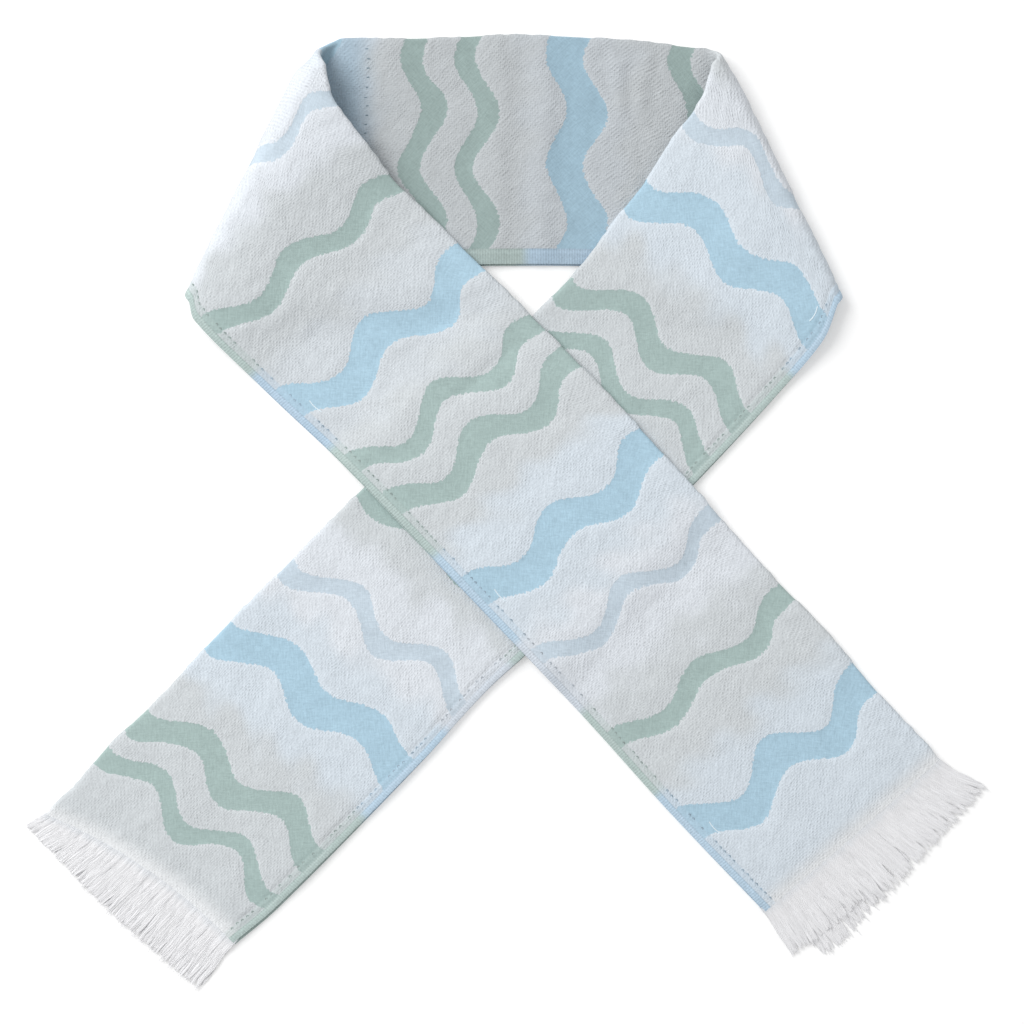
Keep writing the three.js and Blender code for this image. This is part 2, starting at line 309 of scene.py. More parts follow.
def tail_rows(name, t):
    """A tail's rows of points, from its curl to its cut end."""
    tail = TAILS[name]
    radius, landing = CURLS[name]["radius"], CURLS[name]["landing"]
    fold_start, hem_start = tail["fold_edge"][0][0], tail["hem_edge"][0][0]
    start, end = (fold_start + hem_start) / 2, (tail["fold_end"] + tail["hem_end"]) / 2
    middle = steps_between(start, end, ROW_STEP)[:, None]
    by_curl = (fold_start - hem_start) / 2 * (1 - smooth(middle, start, start + ROW_SKEW))
    ending = smooth(middle, end - END_SKEW, end)
    by_end = (tail["fold_end"] - tail["hem_end"]) / 2 * ending
    fold_along = middle + by_curl + by_end
    hem_along = middle - by_curl - by_end
    fold_out = look_up(tail["fold_edge"], fold_along)
    hem_out = look_up(tail["hem_edge"], hem_along)
    along = mix(fold_along, hem_along, t) + 4 * tail["end_bow"] * ending * t * (1 - t)
    place = from_tail(tail, along, mix(fold_out, hem_out, t))
    gone = mix(fold_along - fold_start, hem_along - hem_start, t)
    landed = smooth(gone, 0, mix(*landing, t))
    height = HALF + mix(2 * mix(*radius, t), rise(name, place), landed)
    return np.concatenate([place, height[..., None]], -1)


def curl_rows(name, t):
    """The rows round a curl, between the neck and the tail."""
    turn = math.pi * np.arange(1, CURL_STEPS) / CURL_STEPS
    fold, hem = curl_edge(name, 0, turn), curl_edge(name, 1, turn)
    rows = mix(fold[:, None], hem[:, None], t[None, :, None])
    weight = np.sin(turn)[:, None] * (1 - smooth(t, 0, TUCK_REACH))[None, :]
    rows[..., :2] += weight[..., None] * np.array(CURLS[name]["tuck"])
    return rows


def neck_rows(t):
    """The neck stretch's rows, from the left curl to the right one."""
    fold_edge, hem_edge = NECK["fold_edge"], NECK["hem_edge"]
    left = (fold_edge[0][0] + hem_edge[0][0]) / 2
    right = (fold_edge[-1][0] + hem_edge[-1][0]) / 2
    middle = steps_between(left, right, ROW_STEP)[:, None]
    by_left = (fold_edge[0][0] - hem_edge[0][0]) / 2 * (1 - smooth(middle, left, left + ROW_SKEW))
    by_right = (fold_edge[-1][0] - hem_edge[-1][0]) / 2 * smooth(middle, right - ROW_SKEW, right)
    fold_x = middle + by_left + by_right
    hem_x = middle - by_left - by_right
    x = mix(fold_x, hem_x, t)
    y = mix(look_up(fold_edge, fold_x), look_up(hem_edge, hem_x), t)
    return np.stack([x, y, np.full_like(x, HALF)], -1)


def across_shares():
    """Shares of the way from the fold edge to the hems, closer together near the hems."""
    body = steps_between(0, WIDTH - HEM_ZONE, CELL)
    hem = steps_between(WIDTH - HEM_ZONE, WIDTH, HEM_CELL)
    return np.concatenate([body, hem[1:]]) / WIDTH


def make_strip():
    """The middle surface from the over tail's end to the under tail's, and which stretch each row is in."""
    t = across_shares()
    stretches = [
        ("over", tail_rows("over", t)[::-1]),
        ("over curl", curl_rows("over", t)[::-1]),
        ("neck", neck_rows(t)),
        ("under curl", curl_rows("under", t)),
        ("under", tail_rows("under", t)),
    ]
    stretch = np.concatenate([[name] * len(rows) for name, rows in stretches])
    return t, stretch, np.concatenate([rows for _, rows in stretches])


# ---- slack and creases of the whole cloth

NECK_MIDDLE = 0.0055  # the x at which "length" is 0
SLACK = 0.00025  # the usual height of the soft waves in the laid cloth
STEADY_ROWS = 12  # beside a curl, over which the slack and the creases fade out

# Raised lines in the laid cloth, and sunk ones, whose height is negative: where they start and end (x, y),
# their height and half their spread
CREASES = {
    "neck": [
        ((-0.004, 0.196), (-0.005, 0.104), 0.0011, 0.0060),
        ((0.0165, 0.196), (0.0150, 0.104), 0.0010, 0.0050),
        ((0.0440, 0.1640), (0.0500, 0.1560), 0.0005, 0.0008),
        ((0.0470, 0.1930), (0.0480, 0.1640), 0.0008, 0.0030),
        ((0.0590, 0.1930), (0.0560, 0.1640), 0.0008, 0.0030),
    ],
    "over": [
        ((-0.0290, 0.0405), (0.0040, 0.0695), -0.0008, 0.0030),
        ((0.0990, -0.1400), (0.1040, -0.1490), 0.0006, 0.0010),
    ],
    "under": [
        ((-0.1480, -0.1280), (-0.1640, -0.1370), 0.0006, 0.0011),
        ((-0.1580, -0.1180), (-0.1720, -0.1260), 0.0005, 0.0010),
    ],
}


def cosines(places, count, shortest, longest, tilt=0.0, spread=math.pi):
    """Seeded noise, about -1 to 1: many waves, whose directions lie within "spread" of "tilt"."""
    total = np.zeros(places.shape[:-1])
    for _ in range(count):
        wavelength = shortest * (longest / shortest) ** rng.random()
        angle = tilt + spread * (2 * rng.random() - 1)
        phase = 2 * math.pi * rng.random()
        way = np.array([math.cos(angle), math.sin(angle)]) * 2 * math.pi / wavelength
        total += np.cos(places @ way + phase)
    return total / math.sqrt(count)


def crease_height(place, line):
    """Height of one crease, which fades out towards its ends."""
    start, end, height, spread = np.array(line[0]), np.array(line[1]), line[2], line[3]
    way = end - start
    reach = np.linalg.norm(way)
    along = (place - start) @ way / reach**2
    off = (place - start) @ np.array([-way[1], way[0]]) / reach
    fade = smooth(along, -0.15, 0.2) * (1 - smooth(along, 0.8, 1.15))
    return height * fade * np.exp(-((off / spread) ** 2))


def slacken(stretch, surface, flat):
    """Lifts the middle surface here and there, as cloth that was laid by hand lifts."""
    lift = SLACK * (1.2 + cosines(flat, 14, 0.030, 0.080)).clip(0)
    on_curl = np.char.endswith(stretch, "curl")[:, None]
    for name, lines in CREASES.items():
        rows = stretch == name
        for line in lines:
            lift[rows] += crease_height(surface[rows][..., :2], line)
    surface[..., 2] += np.where(on_curl, 0, lift * smooth_ends(stretch))


def smooth_ends(stretch):
    """For each row, 0 beside a curl and 1 from some rows away."""
    rows = np.arange(len(stretch))
    curls = rows[np.char.endswith(stretch, "curl")]
    nearest = np.abs(rows[:, None] - curls[None, :]).min(axis=1)
    return smooth(nearest, 0, STEADY_ROWS)[:, None]


def lengths_of(surface, stretch):
    """Arc length at each point of the surface, along the cloth from the neck's middle."""
    steps = np.linalg.norm(np.diff(surface, axis=0), axis=-1)
    length = np.concatenate([np.zeros((1, surface.shape[1])), np.cumsum(steps, axis=0)])
    neck = np.flatnonzero(stretch == "neck")
    middle = neck[np.abs(surface[neck, 0, 0] - NECK_MIDDLE).argmin()]
    return length - length[middle]


# ---- the woven pattern

def from_srgb(red, green, blue):
    """A colour of 0 to 255 as the linear colour that a shader takes."""
    shares = [part / 255 for part in (red, green, blue)]
    return tuple(s / 12.92 if s <= 0.04045 else ((s + 0.055) / 1.055) ** 2.4 for s in shares)


# Kinds of zone, the last of them a blue one with a greyer ground. Stripes are of the first three kinds.
BLUE, GREEN, PALE, GREYISH = range(4)
STRIPE_COLOURS = [(172, 202, 219), (166, 186, 183), (196, 210, 221)]
GROUND_COLOURS = [(208, 217, 225), (202, 207, 210), (216, 221, 227), (203, 209, 214)]
HEM_COLOURS = [(180, 202, 219), (176, 192, 189), (200, 208, 217), (176, 198, 216)]
END_COLOUR = from_srgb(230, 232, 234)  # of the ground at the cut ends
CORNER_TINT_AND_SHADE = from_srgb(168, 194, 212)  # of the ground on the neck beside the left fold: bluer, and darker than the zone's ground as painted shade of the fold
NECK_TONE_AND_SHADE = 0.80  # times the colours on the face that shows on the neck, a guess: partly that face's darker weave, partly painted shade of the neck lying low between the two folds

# Each wavy stripe crosses the whole cloth. All in mm: where it is on the length, how wide it is, how far its
# wave swings to either side, the width at which the wave is farthest towards the under tail, its wavelength,
# and how far it leans towards the under tail at the fold. Then its colour.
STRIPES = [
    (-456.1, 15.3, 5.8, 3.5, 47.0, 4.8, BLUE),
    (-406.6, 9.0, 3.9, 5.0, 45.3, 5.8, GREEN),
    (-360.3, 7.4, 5.3, 4.0, 46.0, 3.5, PALE),
    (-321.5, 15.0, 4.4, 4.5, 46.5, 5.4, BLUE),
    (-272.4, 11.5, 5.6, 5.0, 45.5, 4.2, GREEN),
    (-248.8, 9.2, 5.9, 5.0, 46.0, 0.8, GREEN),
    (-212.0, 15.0, 5.8, 4.5, 46.5, 3.0, BLUE),
    (-163.5, 9.4, 3.8, 8.0, 44.5, 1.5, GREEN),
    (-117.5, 7.0, 4.0, 9.0, 45.3, 0.0, PALE),
    (-88.5, 13.0, 6.5, 0.0, 49.0, 0.0, BLUE),
    (-41.4, 10.0, 5.2, 17.0, 49.0, 1.3, GREEN),
    (-18.3, 9.0, 5.0, 15.0, 49.0, 0.0, GREEN),
    (23.2, 16.3, 4.8, 15.0, 48.5, 0.0, BLUE),
    (71.7, 10.5, 4.6, 17.0, 49.0, 0.0, GREEN),
    (116.0, 8.0, 5.0, 8.0, 45.3, 0.0, PALE),
    (151.4, 15.2, 4.4, 7.5, 45.0, 3.5, BLUE),
    (200.6, 11.3, 5.3, 6.5, 45.5, 2.8, GREEN),
    (224.3, 9.0, 5.8, 6.5, 46.0, 1.0, GREEN),
    (277.0, 15.5, 6.0, 6.0, 45.3, 2.0, BLUE),
    (325.2, 9.5, 3.5, 13.0, 45.3, 0.0, GREEN),
    (368.4, 8.8, 5.3, 7.5, 45.5, 0.0, PALE),
    (407.2, 16.2, 4.2, 5.0, 46.5, 1.3, BLUE),
    (456.8, 12.4, 5.5, 4.5, 46.0, 0.0, GREEN),
    (481.6, 8.6, 6.2, 3.0, 45.0, -5.6, GREEN),
]
LEAN_REACH = 25.0  # mm, how far from the fold a stripe leans
SWELL = 0.06  # a stripe is wider by this share where its wave is farthest towards the under tail
UNEVEN = 0.4  # mm, how far the middle of a stripe strays; its half width varies half as much

# The weft's colour changes at these lengths (mm), and the colour from there on
ZONES = [
    (-600, BLUE), (-432, GREEN), (-385, PALE), (-345, BLUE), (-295, GREEN), (-232, GREYISH), (-187, GREEN),
    (-138, PALE), (-98, BLUE), (-62, GREEN), (2, GREYISH), (45, GREEN), (92, PALE), (124, BLUE), (176, GREEN),
    (252, BLUE), (304, GREEN), (345, PALE), (384, BLUE), (434, GREEN),
]
ZONE_BLUR = 7.0  # mm, of the ground
HEM_BLUR = 2.5  # mm, of the hems


def zone_colours(length, palette, blur):
    """The colour of the zone at each length (mm), from a palette."""
    colours = np.array([from_srgb(*colour) for colour in palette])
    total = np.broadcast_to(colours[ZONES[0][1]], length.shape + (3,)).copy()
    for start, colour in ZONES[1:]:
        share = smooth(length, start - blur, start + blur)[..., None]
        total = mix(total, colours[colour], share)
    return total


def stripe_field(length, width):
    """How deep inside a stripe each point is (mm, negative outside), and the nearest stripe's colour."""
    deepest = np.full(length.shape, -100.0)
    colour = np.zeros(length.shape + (3,))
    spots = np.stack([length, width], -1)
    for at, wide, swing, peak, wave, lean, kind in STRIPES:
        turn = np.cos(2 * math.pi * (width - peak) / wave)
        leaning = lean * (1 - smooth(np.abs(width), 0, LEAN_REACH))
        centre = at + swing * turn + leaning + UNEVEN * cosines(spots, 6, 14, 40)
        half = wide / 2 * (1 + SWELL * turn) + UNEVEN / 2 * cosines(spots, 6, 14, 40)
        depth = half - np.abs(length - centre)
        nearer = depth > deepest
        deepest = np.where(nearer, depth, deepest)
        colour[nearer] = from_srgb(*STRIPE_COLOURS[kind])
    return deepest, colour


# ---- the cloth's skins

END_HALF = 0.0006  # half the cloth's thickness at the cut ends
PUFF = 0.00042  # how far the ground stands above the stripes
PUCKER = 0.00013  # how uneven it is there
LOWEST = 0.0001  # of the cloth's underside above the surface
NECK_END = 0.139  # the length at which the neck stretch ends
HEM_PROFILE = [  # distance from the hem's edge and height, mm
    (0.0, -0.12), (0.5, 0.02), (1.6, 0.06), (2.4, 0.02), (3.0, -0.14), (3.6, -0.10), (4.4, 0.10),
    (5.2, 0.06), (6.2, -0.12), (7.2, 0.05), (9.0, 0.0),
]


def unit(vectors):
    return vectors / np.linalg.norm(vectors, axis=-1, keepdims=True)


def directions(surface):
    """Unit vectors at each point: along the cloth, from fold to hem, and square to the surface."""
    run = unit(np.gradient(surface, axis=0))
    normal = unit(np.cross(np.gradient(surface, axis=1), run))
    return run, np.cross(run, normal), normal


def thinned(length, thick, thin):
    """Half the cloth's thickness at each row, which thins out towards the cut ends."""
    from_end = np.minimum(length - length[:1], length[-1:] - length)
    return mix(thin, thick, smooth(from_end, -0.001, 0.006))[..., None]


def wrap(surface, offset, bend_steps):
    """A skin at an offset round the middle surface: front hem, front fold, back fold, back hem."""
    _, edge, normal = directions(surface)
    front = (surface + normal * offset)[:, ::-1]
    back = surface - normal * offset
    turn = math.pi * np.arange(1, bend_steps) / bend_steps
    bend = surface[:, :1] + offset[:, :1] * (
        normal[:, :1] * np.cos(turn)[None, :, None] - edge[:, :1] * np.sin(turn)[None, :, None]
    )
    return np.concatenate([front, bend, back], axis=1)


def skin_widths(t):
    """The width coordinate of the outer skin's columns: negative on the front, positive on the back."""
    half_bend = HALF * math.pi / 2
    turn = np.linspace(-half_bend, half_bend, BEND_STEPS + 1)[1:-1]
    return np.concatenate([-(t[::-1] * WIDTH + half_bend), turn, t * WIDTH + half_bend])


def skin_normals(skin):
    return unit(np.cross(np.gradient(skin, axis=0), np.gradient(skin, axis=1)))


def shift_lower_hem(skin, t, length):
    """The layer that lies below sticks out a little past the upper one at the hems."""
    count = len(t)
    share = smooth(t, 0.90, 1.0)
    way = unit(skin[:, -1] - skin[:, -4])[:, None]
    along = length[:, -1]
    past = 0.0003 + 0.0003 * np.cos(along * 23) + 0.0006 * smooth(along, 0.36, 0.46)
    on_neck = np.abs(along) < NECK_END
    amount = past.clip(0)[:, None, None] * share[None, :, None] * way
    skin[:, :count] += np.where(on_neck[:, None, None], 0, amount)[:, ::-1]
    skin[:, -count:] += np.where(on_neck[:, None, None], amount, 0)


def quads(rows, columns, first=0, flip=False):
    """The faces of a grid of points, as rows of four indices."""
    start = (np.arange(rows - 1)[:, None] * columns + np.arange(columns - 1)[None, :]).ravel() + first
    corners = [start, start + columns, start + columns + 1, start + 1]
    return np.stack(corners[::-1] if flip else corners, -1)


def rim(outer, inner):
    """Faces that join a fine chain of points to a coarse one beside it."""
    faces = []
    for k in range(len(inner) - 1):
        fine = outer[COARSE * k:COARSE * (k + 1) + 1]
        faces.append([*fine, inner[k + 1], inner[k]])
    return faces


# ---- materials

class Nodes:
    """Adds shader nodes to a new material."""

    def __init__(self, name):
        self.material = bpy.data.materials.new(name)
        self.material.use_nodes = True
        self.tree = self.material.node_tree
        self.shader = self.tree.nodes["Principled BSDF"]

    def node(self, kind, inputs, **settings):
        made = self.tree.nodes.new("ShaderNode" + kind)
        for key, value in settings.items():
            setattr(made, key, value)
        for socket, value in inputs:
            self.feed(made.inputs[socket], value)
        return made

    def feed(self, socket, value):
        if isinstance(value, bpy.types.NodeSocket):
            self.tree.links.new(value, socket)
        else:
            socket.default_value = value

    def math(self, operation, *values):
        return self.node("Math", enumerate(values), operation=operation).outputs[0]

    def times(self, a, b):
        return self.math("MULTIPLY", a, b)

    def times_plus(self, a, b, c):
        return self.math("MULTIPLY_ADD", a, b, c)

    def attribute(self, name, output="Fac"):
        return self.node("Attribute", [], attribute_name=name).outputs[output]

    def noise(self, places, size, detail=2.0, shift=0.0):
        """Noise about 0 to 1 whose grains are so many mm long and wide."""
        per_mm = (1 / size[0], 1 / size[1], 1)
        scaled = self.node("VectorMath", [(0, places), (1, per_mm)], operation="MULTIPLY")
        moved = self.node("VectorMath", [(0, scaled.outputs[0]), (1, (shift, shift, shift))], operation="ADD")
        made = self.node("TexNoise", [("Vector", moved.outputs[0]), ("Scale", 1.0), ("Detail", detail)])
        return made.outputs[0]

    def step(self, value, low, high):
        """0 at "low", 1 at "high", and a smooth rise or fall between them."""
        limits = [(0, value), (1, low), (2, high), (3, 0.0), (4, 1.0)]
        return self.node("MapRange", limits, interpolation_type="SMOOTHSTEP").outputs[0]

    def colour_mix(self, share, a, b):
        return self.node("Mix", [(0, share), (6, a), (7, b)], data_type="RGBA").outputs[2]

    def brighten(self, colour, amount):
        return self.node("VectorMath", [(0, colour), (3, amount)], operation="SCALE").outputs[0]

    def bump(self, height, distance):
        return self.node("Bump", [("Height", height), ("Distance", distance)]).outputs[0]

    def finished(self, looks):
        """The material, once the shader's sockets have been fed by name."""
        for socket, value in looks.items():
            self.feed(self.shader.inputs[socket], value)
        return self.material


RIB_PITCH = 1.35  # mm, from one rib of the ground to the next
BEAD_PITCH = 1.5  # mm, from one bead on a rib to the next
FINE_THREAD = 0.56  # mm, in the flat stripes
CREPE_PITCH = 1.45  # mm, from one line of the crepe to the next
CREPE_SLANT = math.radians(35)  # from the length
HEM_RIB_PITCH = 1.1  # mm
PLY_PITCH = 0.9  # mm, from one turn of a yarn's twist to the next


def checks(nodes, length, width, pitch, wander):
    """A plain weave's ups and downs, -1 to 1."""
    turn = 2 * math.pi / pitch
    across = nodes.math("SINE", nodes.times_plus(length, turn, wander))
    along = nodes.math("SINE", nodes.times_plus(width, turn, wander))
    return nodes.times(across, along)


def weighted(nodes, constant, *terms):
    """A constant plus each value of "terms" (value, weight) times its weight."""
    total = constant
    for value, weight in terms:
        total = nodes.times_plus(value, weight, total)
    return total


def band(nodes, value, rise, fall):
    """1 between its rise and its fall, 0 outside them."""
    return nodes.times(nodes.step(value, *rise), nodes.step(value, fall[1], fall[0]))


def cloth_material():
    nodes = Nodes("jacquard")
    places = nodes.attribute("weave", "Vector")
    parts = nodes.node("SeparateXYZ", [(0, places)])
    length, width = parts.outputs[0], parts.outputs[1]
    slant = nodes.attribute("slant")
    hem_share = nodes.attribute("hem")

    # Coordinates along and across the crinkles, which run at 45 degrees to the cloth
    half = math.sqrt(0.5)
    slanted_length = nodes.times(length, slant)
    across = nodes.times_plus(slanted_length, -half, nodes.times(width, half))
    slanted_width = nodes.times(width, slant)
    along = nodes.times_plus(slanted_width, half, nodes.times(length, half))
    slanted = nodes.node("CombineXYZ", [(0, along), (1, across)]).outputs[0]

    # The stripe's jagged edge
    teeth = nodes.noise(slanted, (1.6, 1.2), 1.0)
    depth = weighted(nodes, -1.3, (teeth, 2.6), (nodes.attribute("stripe"), 1.0))
    in_stripe = nodes.step(depth, -0.18, 0.18)
    # Painted highlight: jagged lighter bits of ground just outside each stripe, standing in for light on its
    # puffed edge
    stripe_edge_highlight = nodes.times(nodes.step(depth, -1.9, -0.3), nodes.step(teeth, 0.3, 0.6))

    # The ground: an open crepe weave in wandering ribs and beads
    wander = nodes.noise(places, (8.0, 8.0), 2.0, 11.0)
    rib_turn = weighted(nodes, 0.0, (across, 2 * math.pi / RIB_PITCH), (wander, 15.0))
    bead_wander = nodes.noise(places, (6.0, 6.0), 2.0, 29.0)
    bead_turn = weighted(nodes, 0.0, (along, 2 * math.pi / BEAD_PITCH), (bead_wander, 15.0))
    rib = nodes.math("SINE", rib_turn)
    bead = nodes.times(rib, nodes.math("SINE", bead_turn))
    patches = nodes.step(nodes.noise(places, (13.0, 13.0), 2.0, 97.0), 0.3, 0.65)
    strength = nodes.times_plus(patches, 0.6, 0.4)
    cells = nodes.times(nodes.times_plus(rib, 0.6, bead), strength)
    crepe = nodes.noise(slanted, (2.2, 1.1), 2.0, 23.0)
    grains = nodes.noise(places, (0.9, 0.9), 1.0, 37.0)
    mottle = nodes.noise(places, (9.0, 9.0), 3.0, 51.0)
    crinkles = nodes.noise(slanted, (6.5, 2.0), 2.0, 73.0)
    line_turn = weighted(
        nodes, 0.0, (length, -math.sin(CREPE_SLANT) * 2 * math.pi / CREPE_PITCH),
        (width, math.cos(CREPE_SLANT) * 2 * math.pi / CREPE_PITCH), (wander, 9.0),
    )
    broken = nodes.step(nodes.noise(places, (5.0, 5.0), 1.0, 91.0), 0.3, 0.6)
    lines = nodes.times(nodes.math("SINE", line_turn), nodes.attribute("crepe"))
    lines = nodes.times(lines, broken)
    ground_light = weighted(
        nodes, 0.70, (cells, 0.055), (lines, 0.09), (crepe, 0.18), (grains, 0.26), (mottle, 0.12),
        (crinkles, 0.10), (stripe_edge_highlight, 0.06),
    )
    ground = nodes.brighten(nodes.attribute("ground", "Color"), ground_light)

    # The stripes: a close flat weave like linen
    fine_weave = checks(nodes, length, width, FINE_THREAD, nodes.times(mottle, 5.0))
    weft_slubs = nodes.noise(slanted, (3.6, 0.7), 2.0, 67.0)
    warp_slubs = nodes.noise(slanted, (0.7, 3.6), 2.0, 83.0)
    stripe_light = weighted(
        nodes, 0.52, (fine_weave, 0.07), (weft_slubs, 0.32), (warp_slubs, 0.28), (mottle, 0.20),
        (grains, 0.16),
    )
    stripe = nodes.brighten(nodes.attribute("stripe_colour", "Color"), stripe_light)

    # The hems: one solid colour, ribbed across, with a light line and a dark one beside it
    ribs = nodes.math("SINE", nodes.times(length, 2 * math.pi / HEM_RIB_PITCH))
    light_line = band(nodes, hem_share, (0.58, 0.68), (0.76, 0.86))
    dark_line = band(nodes, hem_share, (0.88, 0.95), (1.04, 1.14))
    hem_light = weighted(
        nodes, 0.62, (ribs, 0.06), (warp_slubs, 0.30), (weft_slubs, 0.20), (grains, 0.34), (light_line, 0.08),
        (dark_line, -0.10),
    )
    hem = nodes.brighten(nodes.attribute("hem_colour", "Color"), hem_light)
    in_hem = nodes.step(hem_share, 1.10, 0.96)
    tinted = nodes.times(nodes.step(hem_share, 2.15, 1.85), 0.35)
    hem_part = nodes.math("MAXIMUM", in_hem, tinted)

    colour = nodes.colour_mix(hem_part, nodes.colour_mix(in_stripe, ground, stripe), hem)

    # Relief finer than the mesh
    flatness = nodes.math("MAXIMUM", in_stripe, in_hem)
    raised_ground = weighted(
        nodes, -1.05, (cells, 0.17), (crepe, 0.7), (grains, 0.5), (lines, 0.20), (crinkles, 0.9)
    )
    rough_ground = nodes.times(raised_ground, nodes.math("SUBTRACT", 1.0, flatness))
    slubs = nodes.math("ADD", nodes.times(nodes.math("ADD", weft_slubs, warp_slubs), 3.0), -3.0)
    threads = nodes.times_plus(ribs, in_hem, slubs)
    close = nodes.times(threads, nodes.times(flatness, 0.12))
    step_up = nodes.step(depth, 0.7, -0.7)
    height = weighted(nodes, 0.0, (rough_ground, 1.0), (close, 1.0), (step_up, 0.15))
    return nodes.finished({
        "Base Color": colour, "Roughness": nodes.times_plus(flatness, -0.12, 0.95),
        "Specular IOR Level": 0.25, "Sheen Weight": 0.30, "Sheen Roughness": 0.40,
        "Normal": nodes.bump(height, 0.00032),
    })


def tuft_material():
    nodes = Nodes("tuft")
    places = nodes.attribute("strand", "Vector")
    streaks = nodes.noise(places, (7.0, 0.45), 2.0)
    strands = nodes.noise(places, (12.0, 1.0), 1.0, 19.0)
    light = weighted(nodes, 0.90, (streaks, 0.10), (strands, 0.10))
    height = weighted(nodes, 0.0, (streaks, 1.0), (strands, 0.6))
    return nodes.finished({
        "Base Color": nodes.brighten(nodes.attribute("yarn", "Color"), light),
        "Roughness": nodes.times_plus(streaks, 0.1, 0.82), "Specular IOR Level": 0.3, "Sheen Weight": 0.25,
        "Normal": nodes.bump(height, 0.00018),
    })


def yarn_material():
    nodes = Nodes("yarn")
    places = nodes.attribute("strand", "Vector")
    parts = nodes.node("SeparateXYZ", [(0, places)])
    turn = nodes.times_plus(parts.outputs[0], 2 * math.pi / PLY_PITCH, parts.outputs[1])
    ply = nodes.math("SINE", turn)
    fuzz = nodes.noise(places, (0.7, 1.0), 2.0)
    light = nodes.times_plus(ply, 0.02, nodes.times_plus(fuzz, 0.08, 0.95))
    height = nodes.math("ADD", ply, nodes.times(fuzz, 0.8))
    return nodes.finished({
        "Base Color": nodes.brighten(nodes.attribute("yarn", "Color"), light),
        "Roughness": 0.85, "Specular IOR Level": 0.3, "Sheen Weight": 0.15,
        "Normal": nodes.bump(height, 0.00003),
    })


# ---- meshes

def make_piece(name, points, faces, attributes, material):
    """A piece on the part's one body. Attributes are values for each point, by name and kind."""
    mesh = bpy.data.meshes.new(name)
    mesh.from_pydata(points.tolist(), [], faces)
    mesh.shade_smooth()
    mesh.set_sharp_from_angle(angle=math.radians(60))
    for key, (kind, values) in attributes.items():
        layer = mesh.attributes.new(key, kind, "POINT")
        field = {"FLOAT": "value", "FLOAT_VECTOR": "vector", "FLOAT_COLOR": "color"}[kind]
        layer.data.foreach_set(field, np.ascontiguousarray(values, dtype=np.float32).ravel())
    mesh.materials.append(material)
    piece = bpy.data.objects.new(name, mesh)
    bpy.context.scene.collection.objects.link(piece)
    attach(piece, "root")
    return piece


def opaque(colours):
    """Colours with full alpha, one row for each point."""
    return np.concatenate([colours, np.ones(colours.shape[:-1] + (1,))], -1).reshape(-1, 4)


def tubes(paths, half_widths, half_heights, sides):
    """Closed tubes with an oval section along paths (tube, point, xyz).

    Gives points (tube, point, side, xyz), faces, how far along its tube each point is and its turn.
    """
    count, steps = paths.shape[:2]
    tangent = unit(np.gradient(paths, axis=1))
    side = unit(np.cross(tangent, np.array([0, 0, 1.0])))
    top = np.cross(side, tangent)
    turn = 2 * math.pi * np.arange(sides) / sides
    wide = (side * half_widths[..., None])[:, :, None] * np.cos(turn)[:, None]
    high = (top * half_heights[..., None])[:, :, None] * np.sin(turn)[:, None]
    points = paths[:, :, None] + wide + high
    start = (np.arange(count)[:, None] * steps + np.arange(steps)[None, :]) * sides
    around = np.arange(sides)
    following = (around + 1) % sides
    near, far = start[:, :-1, None], start[:, 1:, None]
    walls = np.stack([near + around, far + around, far + following, near + following], -1)
    faces = walls.reshape(-1, 4).tolist()
    faces += (start[:, 0, None] + around).tolist()
    faces += (start[:, -1, None] + around[::-1]).tolist()
    gone = np.cumsum(np.linalg.norm(np.diff(paths, axis=1, prepend=paths[:, :1]), axis=-1), axis=1)
    gone = np.broadcast_to(gone[:, :, None], points.shape[:3])
    turns = np.broadcast_to(turn, points.shape[:3])
    return points, faces, gone, turns


STRAND_SHIFT = 3.7  # from one strand's place in the noise to the next one's


def thread_piece(name, paths, half_widths, half_heights, sides, colours, material, flat=False):
    """Threads or flat tufts as one piece. "colours" has a linear colour for each point of each path."""
    points, faces, gone, turns = tubes(paths, half_widths, half_heights, sides)
    own = np.broadcast_to(np.arange(len(paths))[:, None, None] * STRAND_SHIFT, gone.shape)
    around = np.cos(turns) * half_widths[..., None] * 1000 if flat else turns
    tint = np.broadcast_to(colours[:, :, None], points.shape)
    attributes = {
        "strand": ("FLOAT_VECTOR", np.stack([gone * 1000, around, own], -1)),
        "yarn": ("FLOAT_COLOR", opaque(tint)),
    }
    return make_piece(name, points.reshape(-1, 3), faces, attributes, material)


# ---- the cloth

def cloth_relief(length, width, depth, hem, neck_front):
    """Height of the outer skin's relief, in metres, from places and distances in mm."""
    ground = 1 - smooth(depth, -1.8, 0.9)
    spots = np.stack([length, width], -1)
    puckers = cosines(spots, 40, 4.5, 11) + 0.6 * cosines(spots, 30, 4, 8, tilt=0.35, spread=0.5)
    body = smooth(hem, 5.5, 9.0)
    height = (PUFF + PUCKER * puckers) * ground + 0.25 * PUCKER * puckers * (1 - ground)
    return height * mix(0.15, 1.0, body) + look_up(HEM_PROFILE, hem) / 1000 * (1 - 0.6 * neck_front)


# mm
NECK_FACE = (132, 142)  # how far from the middle the neck's hem and its darker colours, partly painted shade, fade out
CORNER = (58, 72)  # and how far to its left the neck's ground takes the corner's colour, with its painted shade
HEM_BAND = 2.9  # the solid hem on the tails
NECK_HEM_BAND = 7.2  # and on the neck
END_RELIEF = 8  # over which the relief fades out towards a cut end
END_TINT = 9  # over which the ground takes the end's colour
CURL_CREPE = (102, 18)  # where on the length the crepe lines are strong, and half their spread


